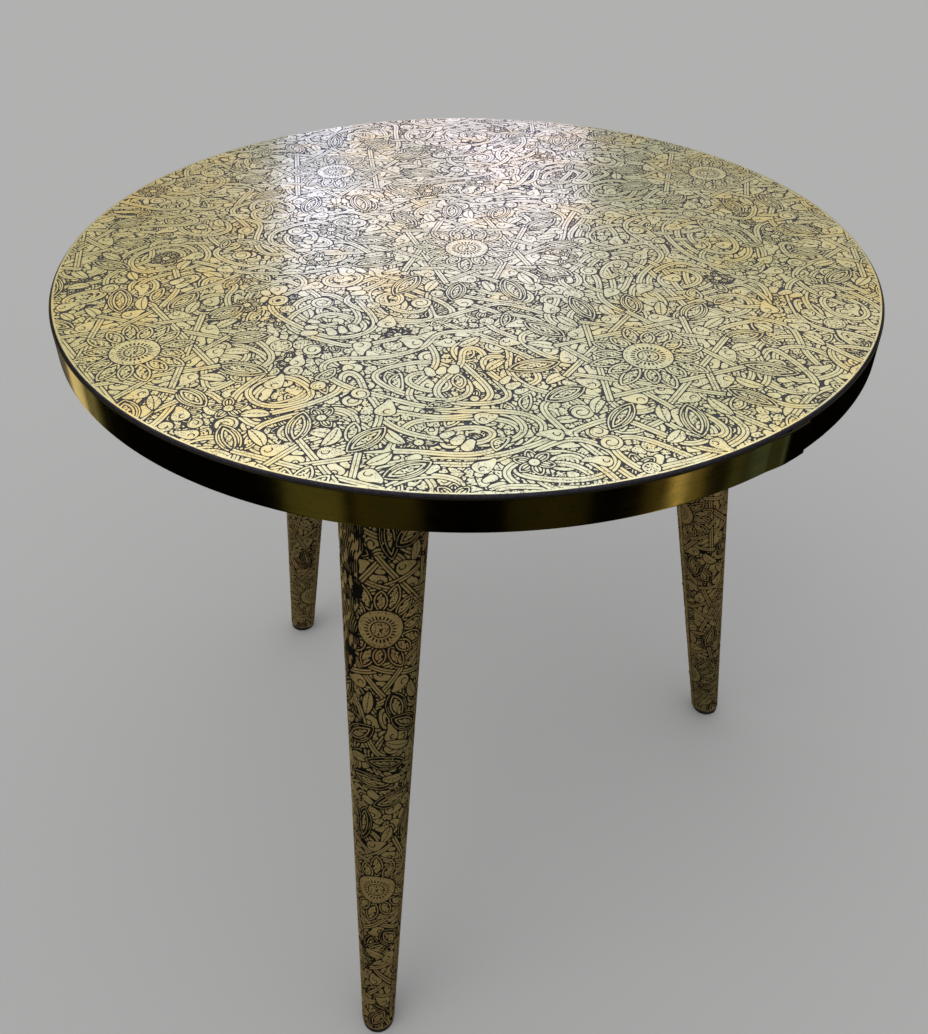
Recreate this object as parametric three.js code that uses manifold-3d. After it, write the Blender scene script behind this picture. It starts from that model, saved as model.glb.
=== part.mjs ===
// Round side table on three splayed legs: a wooden top and three turned wooden legs, all clad in sheet brass.
// Millimetres, +Z up. The origin is on the floor, under the centre of the top.
import * as THREE from 'three';
import { mergeVertices } from 'three/addons/utils/BufferGeometryUtils.js';
import Module from 'manifold-3d';

// Driving dimensions
const TABLE_HEIGHT = 520;
const TOP_RADIUS = 254;
const TOP_THICKNESS = 21;
const GAP = 0.3;                      // clearance between pieces that touch

// Top sheet: flat disc, rolled edge and a skirt that goes down behind the band
const SHEET = 0.8;
const ROLL_RADIUS = 1.5;
const SKIRT_DEPTH = 12;
const ROLL_STEPS = 3;
const RIM_STEPS = 72;

// Edge band: upright strip with a lap seam, and a lower edge folded in under the board
const BAND_THICKNESS = 1;
const BAND_SHOULDER = 1.6;            // how far its upper edge lies below the table's surface
const BAND_LAP_AT = THREE.MathUtils.degToRad(-50);
const BAND_LAP = THREE.MathUtils.degToRad(3);
const BAND_RAMP = THREE.MathUtils.degToRad(4);
const FLANGE_WIDTH = 10;
const FLANGE_CLEAR = THREE.MathUtils.degToRad(8);

// Legs: straight tapered cones, leaning outwards towards the floor
const LEG_AZIMUTHS = [-105, 15, 135].map(THREE.MathUtils.degToRad);
const LEG_NAMES = ['front', 'right', 'left'];
const LEG_CENTRE_AT_TOP = 164.5;      // from the table's axis, level with the top's underside
const LEG_CENTRE_AT_FLOOR = 249;
const LEG_RADIUS_AT_TOP = 27.5;
const LEG_RADIUS_AT_FLOOR = 12;
const LEG_STEPS = 32;
const LEG_CUT = 6;                    // height at which the leg's lower end is cut level
const SLEEVE = 0.8;
const SLEEVE_LAP = THREE.MathUtils.degToRad(18);
const SLEEVE_RAMP = THREE.MathUtils.degToRad(13);
const SEAM_PIN_PLACES = [0.12, 0.37, 0.62, 0.87];

// Mounting plates, bolts and screws
const PLATE = { side: 66, corner: 9, thickness: 2.5, boss: 15, screwOffset: 25 };
const BOLT = { radius: 4, woodRadius: 3.6, below: 40, above: 18, chamfer: 1 };
const SCREW = { head: 4, headDepth: 2.2, shank: 1.8, length: 18, tip: 4 };
const RECESS = { length: 4.2, width: 1, depth: 1.3 };

// Feet and pins
const GLIDE = { radius: 11.6, flat: 9.6, round: 2, bore: 1.7, counterbore: 4.4, counterboreDepth: 3 };
const NAIL = { head: 3.9, headDepth: 1, shank: 1.3, length: 16, tip: 2 };
const PIN = { head: 1.8, dome: 0.9, shank: 0.75, length: 9, tip: 1.2 };
const BAND_PIN_COUNT = 6;
const BAND_PIN_INSET = 7;
const FASTENER_STEPS = 8;
const ROUND_STEPS = 20;

// Derived sizes
const UNDERSIDE = TABLE_HEIGHT - TOP_THICKNESS;
const ROLL_CENTRE = TOP_RADIUS - BAND_THICKNESS - GAP - ROLL_RADIUS;
const BOARD_BOTTOM = UNDERSIDE + BAND_THICKNESS + GAP;
const PLATE_TOP = BOARD_BOTTOM - GAP;
const PLATE_BOTTOM = PLATE_TOP - PLATE.thickness;
const SPLAY = Math.atan2(LEG_CENTRE_AT_FLOOR - LEG_CENTRE_AT_TOP, UNDERSIDE);
const LEG_TAPER = (LEG_RADIUS_AT_TOP - LEG_RADIUS_AT_FLOOR) * Math.cos(SPLAY) / UNDERSIDE;
const LEG_CLEARANCE = LEG_RADIUS_AT_TOP * Math.sin(SPLAY) + 2 * GAP;
const LEG_LENGTH = (PLATE_BOTTOM - LEG_CLEARANCE) / Math.cos(SPLAY);
const LAP_LIFT = SLEEVE + GAP;

const BRASS = { color: 0xb59a55, roughness: 0.35, metalness: 1 };
const POLISHED_BRASS = { color: 0xb08d3c, roughness: 0.2, metalness: 1 };
const ANTIQUE_BRASS = { color: 0x8a7440, roughness: 0.45, metalness: 1 };
const BOARD_WOOD = { color: 0x3a2a1e, roughness: 0.7, metalness: 0 };
const LEG_WOOD = { color: 0xa9814f, roughness: 0.7, metalness: 0 };
const STEEL = { color: 0x9a9c9e, roughness: 0.4, metalness: 1 };
const RUBBER = { color: 0x151515, roughness: 0.8, metalness: 0 };

const wasm = await Module();
wasm.setup();

// ---- solids ----

function solidOf(geometry) {
  const bare = geometry.clone();
  bare.deleteAttribute('normal');
  bare.deleteAttribute('uv');
  const merged = mergeVertices(bare, 1e-4);
  const corners = merged.index.array;
  const kept = [];
  for (let i = 0; i < corners.length; i += 3) {
    const [a, b, c] = corners.slice(i, i + 3);
    if (a !== b && b !== c && c !== a) kept.push(a, b, c);
  }
  return new wasm.Manifold(new wasm.Mesh({
    numProp: 3,
    vertProperties: new Float32Array(merged.attributes.position.array),
    triVerts: new Uint32Array(kept),
  }));
}

function geometryOf(solid) {
  const { vertProperties, triVerts } = solid.getMesh();
  const geometry = new THREE.BufferGeometry();
  geometry.setAttribute('position', new THREE.BufferAttribute(vertProperties, 3));
  geometry.setIndex(new THREE.BufferAttribute(triVerts, 1));
  return geometry;
}

function cut(geometry, cutters) {
  let solid = solidOf(geometry);
  for (const cutter of cutters) solid = solid.subtract(solidOf(cutter));
  return geometryOf(solid);
}

// A profile of [radius, height] points turned about +Z
function turned(profile, steps) {
  const points = profile.map(([radius, height]) => new THREE.Vector2(radius, height));
  return new THREE.LatheGeometry(points, steps).rotateX(Math.PI / 2);
}

// A plain cylinder about +Z, from one height to another
function rod(radius, from, to, steps = FASTENER_STEPS) {
  const geometry = new THREE.CylinderGeometry(radius, radius, to - from, steps);
  return geometry.rotateX(Math.PI / 2).translate(0, 0, (from + to) / 2);
}

function extruded(points, from, to, holes = []) {
  const shape = new THREE.Shape(points);
  shape.holes = holes.map((hole) => new THREE.Path(hole));
  const geometry = new THREE.ExtrudeGeometry(shape, { depth: to - from, bevelEnabled: false });
  return geometry.translate(0, 0, from);
}

function arcPoints(radius, from, to, steps) {
  return Array.from({ length: steps + 1 }, (_, i) => {
    const angle = from + (to - from) * i / steps;
    return new THREE.Vector2(radius * Math.cos(angle), radius * Math.sin(angle));
  });
}

// The wall of a rolled sheet, seen end on: a strip that goes once round and laps over its own start.
// Each point is an angle and an offset from the nominal outside; the lapped end is lifted clear.
function rolledSection(seam, lap, ramp, thickness, lift, steps) {
  const start = seam - 2 * Math.PI - lap / 2;
  const end = seam + lap / 2;
  const angles = Array.from({ length: steps + 1 }, (_, i) => start + (end - lap - ramp - start) * i / steps);
  angles.push(end - lap, end - lap / 2, end);
  const liftAt = (angle) => lift * THREE.MathUtils.clamp((angle - (end - lap - ramp)) / ramp, 0, 1);
  const outside = angles.map((angle) => ({ angle, offset: liftAt(angle) }));
  const inside = angles.map((angle) => ({ angle, offset: liftAt(angle) - thickness }));
  return [...outside, ...inside.reverse()];
}

function roundSection(offset, steps) {
  return Array.from({ length: steps }, (_, i) => ({ angle: 2 * Math.PI * i / steps, offset }));
}

// A leg's wall or core along its own axis (+Z): the lower end is cut level with the floor, the upper end square
function legBody(section) {
  const lower = section.map(({ angle, offset }) => {
    const rise = Math.cos(angle) * Math.sin(SPLAY);
    const along = (LEG_CUT - (LEG_RADIUS_AT_FLOOR + offset) * rise) / (Math.cos(SPLAY) + LEG_TAPER * rise);
    return { angle, radius: legRadius(along) + offset, along };
  });
  const upper = section.map(({ angle, offset }) => ({
    angle, radius: legRadius(LEG_LENGTH) + offset, along: LEG_LENGTH,
  }));
  const place = ({ angle, radius, along }) => [radius * Math.cos(angle), radius * Math.sin(angle), along];
  const outline = upper.map((point) => new THREE.Vector2(...place(point)));
  const faces = THREE.ShapeUtils.triangulateShape(outline, []);
  const count = section.length;
  const index = [];
  for (const [a, b, c] of faces) {
    index.push(a + count, b + count, c + count);
    index.push(c, b, a);
  }
  for (let i = 0; i < count; i += 1) {
    const next = (i + 1) % count;
    index.push(i, next, next + count);
    index.push(i, next + count, i + count);
  }
  const geometry = new THREE.BufferGeometry();
  const positions = [...lower, ...upper].flatMap(place);
  geometry.setAttribute('position', new THREE.Float32BufferAttribute(positions, 3));
  geometry.setIndex(index);
  return geometry;
}

function legRadius(along) {
  return LEG_RADIUS_AT_FLOOR + LEG_TAPER * along;
}

// ---- frames ----

// The leg's own frame, seen from the leg's upright frame: +Z runs up the leg's axis from the floor
function legAxisMatrix() {
  const matrix = new THREE.Matrix4().makeRotationY(-SPLAY);
  return matrix.setPosition(LEG_CENTRE_AT_FLOOR, 0, 0);
}

function axisDistanceAt(height) {
  return LEG_CENTRE_AT_FLOOR - height * Math.tan(SPLAY);
}

const PLATE_CENTRE = axisDistanceAt(PLATE_BOTTOM + PLATE.thickness / 2);
const GLIDE_CENTRE = axisDistanceAt(LEG_CUT / 2);
const SCREW_PLACES = [[1, 1], [1, -1], [-1, -1], [-1, 1]].map(([x, y]) => [
  PLATE_CENTRE + x * PLATE.screwOffset, y * PLATE.screwOffset,
]);
const BAND_PIN_RING = TOP_RADIUS - BAND_PIN_INSET;
const BAND_PIN_START = BAND_LAP_AT + Math.PI / BAND_PIN_COUNT;
const BAND_PIN_PLACES = arcPoints(
  BAND_PIN_RING, BAND_PIN_START, BAND_PIN_START + 2 * Math.PI, BAND_PIN_COUNT,
).slice(1);

// ---- top ----

function topSheet() {
  const rollHeight = TABLE_HEIGHT - ROLL_RADIUS;
  const skirtEnd = rollHeight - SKIRT_DEPTH;
  const roll = (radius) => Array.from({ length: ROLL_STEPS + 1 }, (_, i) => {
    const angle = (Math.PI / 2) * i / ROLL_STEPS;
    return [ROLL_CENTRE + radius * Math.cos(angle), rollHeight + radius * Math.sin(angle)];
  });
  const inner = roll(ROLL_RADIUS - SHEET).reverse();
  const outer = roll(ROLL_RADIUS);
  const insideEnd = [ROLL_CENTRE + ROLL_RADIUS - SHEET, skirtEnd];
  const outsideEnd = [ROLL_CENTRE + ROLL_RADIUS, skirtEnd];
  const axisPoints = [[0, TABLE_HEIGHT - SHEET], [0, TABLE_HEIGHT]];
  return turned([axisPoints[0], ...inner, insideEnd, outsideEnd, ...outer, axisPoints[1]], RIM_STEPS);
}

function edgeBand() {
  const section = rolledSection(BAND_LAP_AT, BAND_LAP, BAND_RAMP, BAND_THICKNESS, BAND_THICKNESS + GAP, RIM_STEPS);
  const outline = section.map(({ angle, offset }) => {
    const radius = TOP_RADIUS + offset;
    return new THREE.Vector2(radius * Math.cos(angle), radius * Math.sin(angle));
  });
  const strip = extruded(outline, UNDERSIDE, TABLE_HEIGHT - BAND_SHOULDER);
  const from = BAND_LAP_AT + FLANGE_CLEAR;
  const to = BAND_LAP_AT + 2 * Math.PI - FLANGE_CLEAR;
  const flangeOutline = [
    ...arcPoints(TOP_RADIUS - BAND_THICKNESS / 2, from, to, RIM_STEPS),
    ...arcPoints(TOP_RADIUS - FLANGE_WIDTH, to, from, RIM_STEPS / 2),
  ];
  const flange = extruded(flangeOutline, UNDERSIDE, UNDERSIDE + BAND_THICKNESS);
  const joined = geometryOf(solidOf(strip).add(solidOf(flange)));
  const holes = BAND_PIN_PLACES.map(({ x, y }) => (
    rod(PIN.shank + GAP, UNDERSIDE - BAND_THICKNESS, BOARD_BOTTOM).translate(x, y, 0)
  ));
  return cut(joined, holes);
}

function coreBoard() {
  const radius = ROLL_CENTRE + ROLL_RADIUS - SHEET - GAP;
  const round = radius - ROLL_CENTRE;
  const boardTop = TABLE_HEIGHT - SHEET - GAP;
  const rounding = Array.from({ length: ROLL_STEPS + 1 }, (_, i) => {
    const angle = (Math.PI / 2) * i / ROLL_STEPS;
    return [ROLL_CENTRE + round * Math.cos(angle), boardTop - round + round * Math.sin(angle)];
  });
  const disc = turned([[0, BOARD_BOTTOM], [radius, BOARD_BOTTOM], ...rounding, [0, boardTop]], RIM_STEPS);
  const below = BOARD_BOTTOM - 1;
  const cutters = BAND_PIN_PLACES.map(({ x, y }) => (
    rod(PIN.shank + GAP, below, UNDERSIDE + PIN.length + 1).translate(x, y, 0)
  ));
  for (const azimuth of LEG_AZIMUTHS) {
    const boltHole = rod(BOLT.radius + 2 * GAP, LEG_LENGTH, LEG_LENGTH + BOLT.above + 2);
    cutters.push(boltHole.applyMatrix4(legAxisMatrix()).rotateZ(azimuth));
    for (const [x, y] of SCREW_PLACES) {
      const pilot = rod(SCREW.shank + GAP, below, PLATE_BOTTOM + SCREW.length + 1);
      cutters.push(pilot.translate(x, y, 0).rotateZ(azimuth));
    }
  }
  return cut(disc, cutters);
}

// ---- legs ----

// Everything that pierces a leg: the bolt from above, the nail from below and the seam pins from the inner side
function legHoles({ bolt, nail }) {
  const toLegAxis = legAxisMatrix().invert();
  const cutters = SEAM_PIN_PLACES.map((place) => {
    const along = LEG_LENGTH * place;
    const hole = rod(PIN.shank + GAP, 0, PIN.length + 1);
    return hole.rotateY(Math.PI / 2).translate(seamPinSeat(along), 0, along);
  });
  if (bolt) cutters.push(rod(BOLT.radius + GAP, LEG_LENGTH - BOLT.below - 2, LEG_LENGTH + 1));
  if (nail) {
    const pilot = rod(NAIL.shank + GAP, 0, NAIL.length + GLIDE.counterboreDepth);
    cutters.push(pilot.translate(GLIDE_CENTRE, 0, 0).applyMatrix4(toLegAxis));
  }
  return cutters;
}

// Where a seam pin's head sits, on the lapped layer at the side that faces the table's axis
function seamPinSeat(along) {
  return -(legRadius(along) + LAP_LIFT + GAP);
}

function legSleeve() {
  const section = rolledSection(Math.PI, SLEEVE_LAP, SLEEVE_RAMP, SLEEVE, LAP_LIFT, LEG_STEPS);
  return cut(legBody(section), legHoles({ bolt: false, nail: false }));
}

function legCore() {
  return cut(legBody(roundSection(-(SLEEVE + GAP), LEG_STEPS)), legHoles({ bolt: true, nail: true }));
}

function legPlate() {
  const half = PLATE.side / 2;
  const corner = half - PLATE.corner;
  const outline = [0, 1, 2, 3].flatMap((quarter) => {
    const start = quarter * Math.PI / 2;
    const middle = start + Math.PI / 4;
    const centre = new THREE.Vector2(Math.cos(middle), Math.sin(middle)).multiplyScalar(corner * Math.SQRT2);
    return arcPoints(PLATE.corner, start, start + Math.PI / 2, 4).map((point) => point.add(centre));
  });
  const flat = extruded(outline, PLATE_BOTTOM, PLATE_TOP).translate(PLATE_CENTRE, 0, 0);
  const bossTop = extruded(outline, PLATE_BOTTOM - PLATE.side, PLATE_TOP - PLATE.thickness / 2);
  const boss = rod(PLATE.boss, LEG_LENGTH + GAP, LEG_LENGTH + PLATE.boss, ROUND_STEPS);
  const bossSolid = solidOf(boss.applyMatrix4(legAxisMatrix()));
  const trimmed = bossSolid.intersect(solidOf(bossTop.translate(PLATE_CENTRE, 0, 0)));
  const joined = geometryOf(solidOf(flat).add(trimmed));
  const bore = rod(BOLT.radius + GAP, LEG_LENGTH - 1, LEG_LENGTH + BOLT.above);
  const cutters = [bore.applyMatrix4(legAxisMatrix())];
  for (const [x, y] of SCREW_PLACES) {
    const seat = [
      [0, -1], [SCREW.head + GAP, -1], [SCREW.head + GAP, 0],
      [SCREW.shank + GAP, SCREW.headDepth], [SCREW.shank + GAP, PLATE.thickness + 1], [0, PLATE.thickness + 1],
    ];
    cutters.push(turned(seat, FASTENER_STEPS).translate(x, y, PLATE_BOTTOM));
  }
  return cut(joined, cutters);
}

function legBolt() {
  const bottom = LEG_LENGTH - BOLT.below;
  const top = LEG_LENGTH + BOLT.above;
  return turned([
    [0, bottom], [1, bottom], [BOLT.woodRadius, bottom + 6], [BOLT.woodRadius, LEG_LENGTH - 5],
    [BOLT.radius, LEG_LENGTH - 4], [BOLT.radius, top - BOLT.chamfer], [BOLT.radius - BOLT.chamfer, top], [0, top],
  ], FASTENER_STEPS);
}

// Countersunk wood screw, head down, with a crossed driver recess
function plateScrew() {
  const body = turned([
    [0, 0], [SCREW.head, 0], [SCREW.shank, SCREW.headDepth - GAP],
    [SCREW.shank, SCREW.length - SCREW.tip], [0, SCREW.length],
  ], FASTENER_STEPS);
  const slot = new THREE.BoxGeometry(RECESS.length, RECESS.width, 2 * RECESS.depth);
  return cut(body, [slot, slot.clone().rotateZ(Math.PI / 2)]);
}

function footGlide() {
  const top = LEG_CUT - GAP;
  const rounding = Array.from({ length: 4 }, (_, i) => {
    const angle = (Math.PI / 2) * i / 3;
    return [GLIDE.flat + GLIDE.round * Math.sin(angle), GLIDE.round - GLIDE.round * Math.cos(angle)];
  });
  return turned([
    [GLIDE.counterbore, 0], ...rounding, [GLIDE.radius, top], [GLIDE.bore, top],
    [GLIDE.bore, GLIDE.counterboreDepth], [GLIDE.counterbore, GLIDE.counterboreDepth], [GLIDE.counterbore, 0],
  ], ROUND_STEPS);
}

function glideNail() {
  const headTop = GLIDE.counterboreDepth - GAP;
  const end = headTop + NAIL.length;
  return turned([
    [0, headTop - NAIL.headDepth], [NAIL.head, headTop - NAIL.headDepth], [NAIL.head, headTop],
    [NAIL.shank, headTop], [NAIL.shank, end - NAIL.tip], [0, end],
  ], FASTENER_STEPS);
}

// Round-headed pin: the head's dome is below z = 0 and the shank above it
function brassPin() {
  return turned([
    [0, -PIN.dome], [PIN.head * 0.7, -PIN.dome * 0.7], [PIN.head, 0],
    [PIN.shank, 0], [PIN.shank, PIN.length - PIN.tip], [0, PIN.length],
  ], FASTENER_STEPS);
}

// ---- assembly ----

const table = new THREE.Group();

function piece(parent, name, geometry, finish) {
  geometry.computeVertexNormals();
  const mesh = new THREE.Mesh(geometry, new THREE.MeshStandardMaterial(finish));
  mesh.name = name;
  parent.add(mesh);
  return mesh;
}

piece(table, 'top_sheet', topSheet(), BRASS);
piece(table, 'edge_band', edgeBand(), POLISHED_BRASS);
piece(table, 'core_board', coreBoard(), BOARD_WOOD);
BAND_PIN_PLACES.forEach(({ x, y }, i) => {
  const pin = piece(table, `band_pin_${i + 1}`, brassPin(), BRASS);
  pin.position.set(x, y, UNDERSIDE - GAP);
});

LEG_AZIMUTHS.forEach((azimuth, which) => {
  const side = LEG_NAMES[which];
  const upright = new THREE.Group();
  upright.rotation.z = azimuth;
  table.add(upright);
  const leaning = new THREE.Group();
  leaning.position.x = LEG_CENTRE_AT_FLOOR;
  leaning.rotation.y = -SPLAY;
  upright.add(leaning);

  piece(leaning, `leg_sleeve_${side}`, legSleeve(), ANTIQUE_BRASS);
  piece(leaning, `leg_core_${side}`, legCore(), LEG_WOOD);
  piece(leaning, `leg_bolt_${side}`, legBolt(), STEEL);
  SEAM_PIN_PLACES.forEach((place, i) => {
    const pin = piece(leaning, `seam_pin_${side}_${i + 1}`, brassPin(), BRASS);
    pin.position.set(seamPinSeat(LEG_LENGTH * place), 0, LEG_LENGTH * place);
    pin.rotation.y = Math.PI / 2;
  });

  piece(upright, `leg_plate_${side}`, legPlate(), STEEL);
  SCREW_PLACES.forEach(([x, y], i) => {
    const screw = piece(upright, `plate_screw_${side}_${i + 1}`, plateScrew(), STEEL);
    screw.position.set(x, y, PLATE_BOTTOM);
  });
  const glide = piece(upright, `foot_glide_${side}`, footGlide(), RUBBER);
  glide.position.x = GLIDE_CENTRE;
  const nail = piece(upright, `glide_nail_${side}`, glideNail(), STEEL);
  nail.position.x = GLIDE_CENTRE;
});

export default table;
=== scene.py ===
from math import atan, atan2, cos, hypot, pi, radians, sin, sqrt, tan, tau

import bpy
import numpy as np
from mathutils import Matrix, Vector, geometry

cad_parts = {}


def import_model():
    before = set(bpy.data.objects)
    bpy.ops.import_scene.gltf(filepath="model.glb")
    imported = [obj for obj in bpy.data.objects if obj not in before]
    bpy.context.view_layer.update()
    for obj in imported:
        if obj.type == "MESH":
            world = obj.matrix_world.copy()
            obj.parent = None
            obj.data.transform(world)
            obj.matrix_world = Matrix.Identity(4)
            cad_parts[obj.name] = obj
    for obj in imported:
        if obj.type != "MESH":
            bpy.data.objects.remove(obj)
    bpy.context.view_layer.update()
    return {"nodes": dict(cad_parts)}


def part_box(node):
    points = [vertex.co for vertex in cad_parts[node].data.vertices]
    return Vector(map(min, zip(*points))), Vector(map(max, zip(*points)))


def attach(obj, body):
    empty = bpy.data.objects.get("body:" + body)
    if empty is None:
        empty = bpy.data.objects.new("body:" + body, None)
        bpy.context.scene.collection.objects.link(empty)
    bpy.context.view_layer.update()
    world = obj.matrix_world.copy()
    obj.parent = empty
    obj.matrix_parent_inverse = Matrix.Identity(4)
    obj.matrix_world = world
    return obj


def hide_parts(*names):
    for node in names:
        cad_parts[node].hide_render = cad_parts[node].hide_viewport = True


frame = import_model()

MM = 0.001

# ---- sizes, in millimetres ----

top_low, top_high = (np.array(corner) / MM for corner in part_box("top_sheet"))
TOP_Z = top_high[2]
SKIRT_END = top_low[2]
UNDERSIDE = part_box("edge_band")[0][2] / MM
BAND_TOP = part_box("edge_band")[1][2] / MM
PLATE_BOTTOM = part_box("plate_screw_front_1")[0][2] / MM

GAP = 0.3  # clearance between pieces that touch
SHEET = 0.8  # thickness of the top's and the legs' brass
ROLL = 0.6  # radius of the top sheet's folded edge
BAND_RADIUS = 254.0
BAND_THICKNESS = 1.0
BAND_SEAM = radians(-50)
BAND_LAP = radians(3)
BAND_RAMP = radians(4)
FLANGE = 10.0  # width of the band's lower edge, folded in under the board
FLANGE_CLEAR = radians(8)  # where it is cut away, on each side of the seam
FOLD_END = 0.02  # what is left of it there
FLAT_RADIUS = BAND_RADIUS - BAND_THICKNESS - GAP - ROLL
PLAIN_RIM = 1.0  # width of the metal left plain round each sheet's pattern
RIM_STEPS = 360
TOP_SECTORS = 6

LEGS = {"front": radians(-105), "right": radians(15), "left": radians(135)}
LEG_AT_FLOOR = 249.0  # from the table's axis to the leg's axis
LEG_AT_TOP = 164.5
LEG_RADIUS_AT_FLOOR = 12.0
LEG_RADIUS_AT_TOP = 27.5
SPLAY = atan2(LEG_AT_FLOOR - LEG_AT_TOP, UNDERSIDE)
TAPER = (LEG_RADIUS_AT_TOP - LEG_RADIUS_AT_FLOOR) * cos(SPLAY) / UNDERSIDE
LEG_LENGTH = (PLATE_BOTTOM - LEG_RADIUS_AT_TOP * sin(SPLAY) - 2 * GAP) / cos(SPLAY)
LEG_CUT = 6.0  # height of the sleeves' lower ends
LEG_SPLIT = 250.0  # where each sleeve is divided into two pieces
SLEEVE_LIFT = SHEET + GAP  # how far a sleeve's lapped end stands off
SLEEVE_LAP = radians(18)
SLEEVE_RAMP = radians(13)

GLIDE_RADIUS = 11.6
GLIDE_BORE = 1.7
GLIDE_RECESS = (4.4, 3.0)  # radius and depth of the hollow for the nail's head
PIN_HEAD = 1.8
PIN_DOME = 0.9
PIN_SHANK = 0.75
PIN_LENGTH = 9.0
BAND_PINS = 6
BAND_PIN_INSET = 7.0
SEAM_PIN_SHARES = (0.12, 0.37, 0.62, 0.87)

RELIEF = 0.32  # depth of the embossing
WALL_RUN = 0.13  # how far a groove's wall leans in
PITCH = 0.36  # spacing of the pattern's samples
TOP_LINE = 0.72  # width of an engraved line
LEG_LINE = 0.90
GROUND_PATCH = 6.5  # size of the patches between the shapes
RAISED = 0.4  # fields that stand for metal: near a groove, and far from any
FAR = 9.0
UNDER_SPACING = 15.0  # between the ornaments under the long straps, and over them
OVER_SPACING = 25.0
STRAP = 4.2  # width of the long curving straps
STRAP_WAVE = 66.0
STRAP_LEVELS = 1.15  # how sparsely the curving straps lie
SPECK = 0.15  # the smallest patch of metal or groove, in square millimetres
SUNFLOWER_DISC = 13.7  # radii of a sunflower's disc, rays and plain field
SUNFLOWER_RAYS = 24.0
SUNFLOWER_FIELD = 38.0
# How often each ornament comes up
ORNAMENTS = {"leaf": 0.20, "veined leaf": 0.13, "lobe": 0.32, "medallion": 0.07, "scroll": 0.13,
             "pebbles": 0.07, "blossom": 0.08}

# Where the sunflowers sit: in shares of the table's radius on the top, and in millimetres on a flat sleeve
FLOWER_SHARES = [
    (-0.700, -0.515), (0, 0), (0.383, -0.522), (0.700, 0.515), (-0.383, 0.515),
    (1.083, 0), (-1.083, 0), (-0.317, -1.03), (0.766, -1.04), (0.317, 1.03),
]
TOP_FLOWERS = [(BAND_RADIUS * x, BAND_RADIUS * y) for x, y in FLOWER_SHARES]
LEG_FLOWERS = [(6.4, 384), (3.0, 162), (-62, 273), (70, 273), (-66, 470), (74, 480), (-45, 60), (45, 60)]
LEG_BARK = ((-37, 340), (-1, 492))  # the patch of dense lines near a sleeve's top: its corners
TOP_SHEET_SPAN = ((-253, -253), (253, 253))
SLEEVE_SPAN = ((-91, 2), (91, 500))


# ---- the pattern ----

def stepped(place, distance, turn):
    """The place at a distance and in a direction from another."""
    return place[0] + distance * cos(turn), place[1] + distance * sin(turn)


def groove(distance, width):
    """The field of a groove that runs where distance is zero."""
    return np.abs(distance) - width / 2


def rows(distance, spacing, width):
    """The field of evenly spaced grooves, and the number of the nearest one."""
    row = np.round(distance / spacing)
    return groove(distance - spacing * row, width), row


def lowest(*fields):
    return np.minimum.reduce(fields)


class Sheet:
    """A field over a flat sheet, in millimetres: above zero is raised metal, below zero is groove."""

    def __init__(self, low, high, line):
        self.line = line  # width of an outline
        self.x = np.arange(low[0], high[0] + PITCH, PITCH, dtype=np.float32)
        self.y = np.arange(low[1], high[1] + PITCH, PITCH, dtype=np.float32)
        self.field = np.full((len(self.y), len(self.x)), FAR, np.float32)

    def window(self, centre, reach, turn=0.0):
        """The part within reach of a point, with coordinates from it along turned axes."""
        i0, i1 = np.searchsorted(self.x, (centre[0] - reach, centre[0] + reach))
        j0, j1 = np.searchsorted(self.y, (centre[1] - reach, centre[1] + reach))
        x, y = np.meshgrid(self.x[i0:i1] - centre[0], self.y[j0:j1] - centre[1])
        u = x * cos(turn) + y * sin(turn)
        v = y * cos(turn) - x * sin(turn)
        return (slice(j0, j1), slice(i0, i1)), u, v

    def blade(self, base, turn, length, width, bend=0.0):
        """The window of a pointed and bent blade, with the distance to its edge."""
        half = length / 2
        part, u, v = self.window(stepped(base, half, turn), length * 0.62 + width / 2, turn)
        v = v - bend * (1 - (u / half) ** 2) * half
        return part, u, v, lens(u, v, half, width / 2)

    def stamp(self, part, edge, *details, where=None):
        """Lays a shape on top: the distance to its edge, negative inside, and the fields of its grooves."""
        old = self.field[part]
        inside = lowest(-edge - self.line / 2, *details)
        new = np.where(edge < 0, inside, np.minimum(old, edge - self.line / 2))
        self.field[part] = new if where is None else np.where(where, new, old)


# ---- shapes: signed distances, negative inside ----

def lens(u, v, half_length, half_width):
    radius = (half_length ** 2 + half_width ** 2) / (2 * half_width)
    return np.hypot(u, np.abs(v) + radius - half_width) - radius


def drop(u, v, length, big, small):
    """Two circles, big at the start and small at the end of a length, joined by straight sides."""
    slope = (big - small) / length
    rise = sqrt(1 - slope ** 2)
    side = np.abs(v)
    along = rise * u - slope * side
    straight = rise * side + slope * u - big
    ends = np.where(along < 0, np.hypot(u, v) - big, np.hypot(u - length, v) - small)
    return np.where((along < 0) | (along > rise * length), ends, straight)


def cell_noise(i, j, seed):
    """Two repeatable random numbers from 0.15 to 0.85 for each cell of a grid."""
    def one(a, b, c):
        wave = np.sin(i * a + j * b + seed * 3.7 + c) * 43758.547
        return 0.15 + 0.7 * (wave - np.floor(wave))
    return one(12.9898, 78.233, 0.0), one(39.346, 11.135, 1.7)


def cell_points(x, y, size, seed):
    """The nine cells round each place, and the distance in cells to a random point in each."""
    x, y = x / size, y / size
    across, up = np.floor(x), np.floor(y)
    for i in (-1, 0, 1):
        for j in (-1, 0, 1):
            off_x, off_y = cell_noise(across + i, up + j, seed)
            yield across + i, up + j, np.hypot(x - across - i - off_x, y - up - j - off_y)


def stipple(u, v, spacing, size, seed):
    """Small punched pits, one in each cell of a jittered grid."""
    nearest = np.full(u.shape, FAR, np.float32)
    for _, _, distance in cell_points(u, v, spacing, seed):
        nearest = np.minimum(nearest, distance)
    return nearest * spacing - size


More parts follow.
